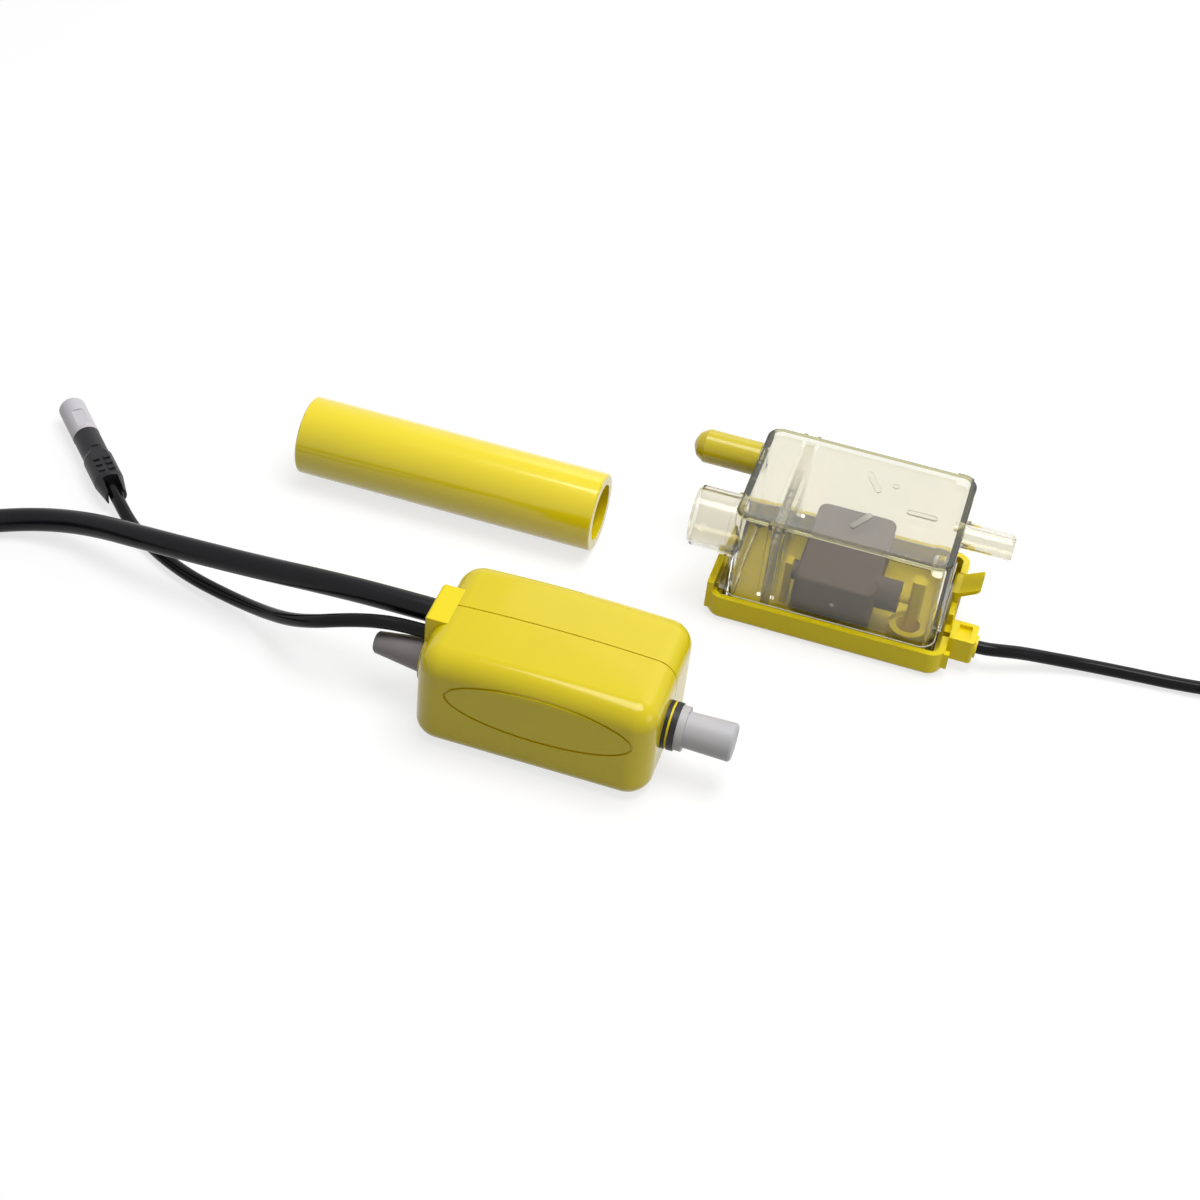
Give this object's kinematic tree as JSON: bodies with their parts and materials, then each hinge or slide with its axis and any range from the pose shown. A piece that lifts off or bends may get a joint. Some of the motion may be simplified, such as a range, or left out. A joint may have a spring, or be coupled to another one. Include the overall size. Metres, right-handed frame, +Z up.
{
  "type": "condensate pump",
  "caption": "Mini condensate pump set: yellow pump block with capped pipe ends and cables, clear float reservoir on a latched yellow lid, and a short inlet hose.",
  "frame": {"origin": "centre of the pump's underside, on the surface that the set lies on", "axes": "+X from the pump's inlet end to its outlet end, +Y from the pump towards the hose and the reservoir behind it, +Z up"},
  "size_m": [0.4359, 0.174, 0.0348],
  "materials": {
    "yellow_case": "glossy moulded yellow plastic",
    "yellow_lid": "satin moulded yellow plastic",
    "yellow_hose": "smooth flexible yellow vinyl",
    "clear_plastic": "clear moulded plastic with a faint straw tint",
    "filter_plastic": "thin translucent olive plastic",
    "float_plastic": "dark grey-brown moulded plastic",
    "light_cap": "light grey soft plastic",
    "grey_cap": "mid grey soft plastic",
    "connector_shell": "pale grey moulded plastic",
    "connector_body": "black moulded rubber",
    "mains_sheath": "black satin cable sheath",
    "lead_sheath": "black satin cable sheath",
    "brown_core": "brown core insulation",
    "blue_core": "blue core insulation",
    "green_core": "green core insulation with a yellow stripe",
    "tinned_metal": "tinned metal",
    "black_rubber": "black rubber",
    "fitting_plastic": "black moulded plastic",
    "steel": "stainless steel",
    "spring_steel": "stainless spring wire",
    "bobbin_plastic": "off-white moulded plastic",
    "copper": "enamelled copper wire",
    "board": "green circuit board",
    "capacitor": "amber moulded film capacitor",
    "component_black": "black epoxy",
    "potting": "black potting resin",
    "magnet": "plated magnet",
    "white_plug": "white plastic",
    "valve_rubber": "brown rubber"
  },
  "bodies": {
    "root": {"front_shell": "yellow_case", "rear_shell": "yellow_case", "cable_block": "yellow_lid", "inlet_fitting": "fitting_plastic", "outlet_fitting": "fitting_plastic", "inlet_seal_ring": "black_rubber", "outlet_seal_ring": "black_rubber", "outlet_grommet": "black_rubber", "outlet_clip_ring": "yellow_lid", "pump_tube": "steel", "bobbin": "bobbin_plastic", "coil_winding": "copper", "yoke": "steel", "inlet_mount_ring": "black_rubber", "outlet_mount_ring": "black_rubber", "inlet_spring": "spring_steel", "outlet_spring": "spring_steel", "inlet_seat": "steel", "outlet_seat": "steel", "circuit_board": "board", "board_capacitor": "capacitor", "board_switch": "component_black", "thermal_cutout": "component_black", "mains_cable": "mains_sheath", "mains_cable_coil": "mains_sheath", "core_ferrules": "tinned_metal", "neutral_core": "blue_core", "earth_core": "green_core", "live_core": "brown_core", "pump_lead": "lead_sheath", "plug_body": "connector_body", "plug_shell": "connector_shell", "plug_pins": "tinned_metal", "reservoir_lead": "lead_sheath", "reservoir_lead_coil": "lead_sheath", "socket_body": "connector_body", "lid": "yellow_lid", "lid_gland": "yellow_lid", "lid_gasket": "black_rubber", "sensor_board": "board", "sensor_potting": "potting", "inlet_hose": "yellow_hose"},
    "float": {"float": "float_plastic", "float_magnet": "magnet", "magnet_plug": "white_plug"},
    "tank": {"tank": "clear_plastic", "filter_screen": "filter_plastic"},
    "overflow_cap": {"overflow_cap": "yellow_hose"},
    "lid_latch": {"lid_latch": "yellow_lid"},
    "inlet_cap": {"inlet_cap": "grey_cap"},
    "outlet_cap": {"outlet_cap": "light_cap"},
    "piston": {"piston": "steel"},
    "piston_valve": {"piston_valve": "valve_rubber"},
    "outlet_valve": {"outlet_valve": "valve_rubber"}
  },
  "joints": [
    {"name": "float_tilt", "type": "hinge", "parent": "root", "child": "float", "pos_m": [0.0572, 0.0639, 0.0126], "axis": [1, 0, 0], "range_deg": [0, 30]},
    {"name": "tank_tilt", "type": "hinge", "parent": "root", "child": "tank", "pos_m": [0.026, 0.0581, 0.008], "axis": [0, -1, 0], "range_deg": [0, 30]},
    {"name": "latch_flex", "type": "hinge", "parent": "root", "child": "lid_latch", "pos_m": [0.08775, 0.0734, 0.0026], "axis": [0, 1, 0], "range_deg": [0, 8], "stiffness_Nm_per_rad": 0.4},
    {"name": "overflow_cap_pull", "type": "slide", "parent": "tank", "child": "overflow_cap", "axis": [-1, 0, 0], "range_m": [0, 0.022]},
    {"name": "inlet_cap_pull", "type": "slide", "parent": "root", "child": "inlet_cap", "axis": [-1, 0, 0], "range_m": [0, 0.0085]},
    {"name": "outlet_cap_pull", "type": "slide", "parent": "root", "child": "outlet_cap", "axis": [1, 0, 0], "range_m": [0, 0.02]},
    {"name": "piston_slide", "type": "slide", "parent": "root", "child": "piston", "axis": [1, 0, 0], "range_m": [-0.0015, 0.0015], "stiffness_N_per_m": 300, "deforming": ["inlet_spring", "outlet_spring"]},
    {"name": "piston_valve_lift", "type": "slide", "parent": "piston", "child": "piston_valve", "axis": [1, 0, 0], "range_m": [0, 0.0008]},
    {"name": "outlet_valve_lift", "type": "slide", "parent": "root", "child": "outlet_valve", "axis": [1, 0, 0], "range_m": [0, 0.0008]}
  ]
}
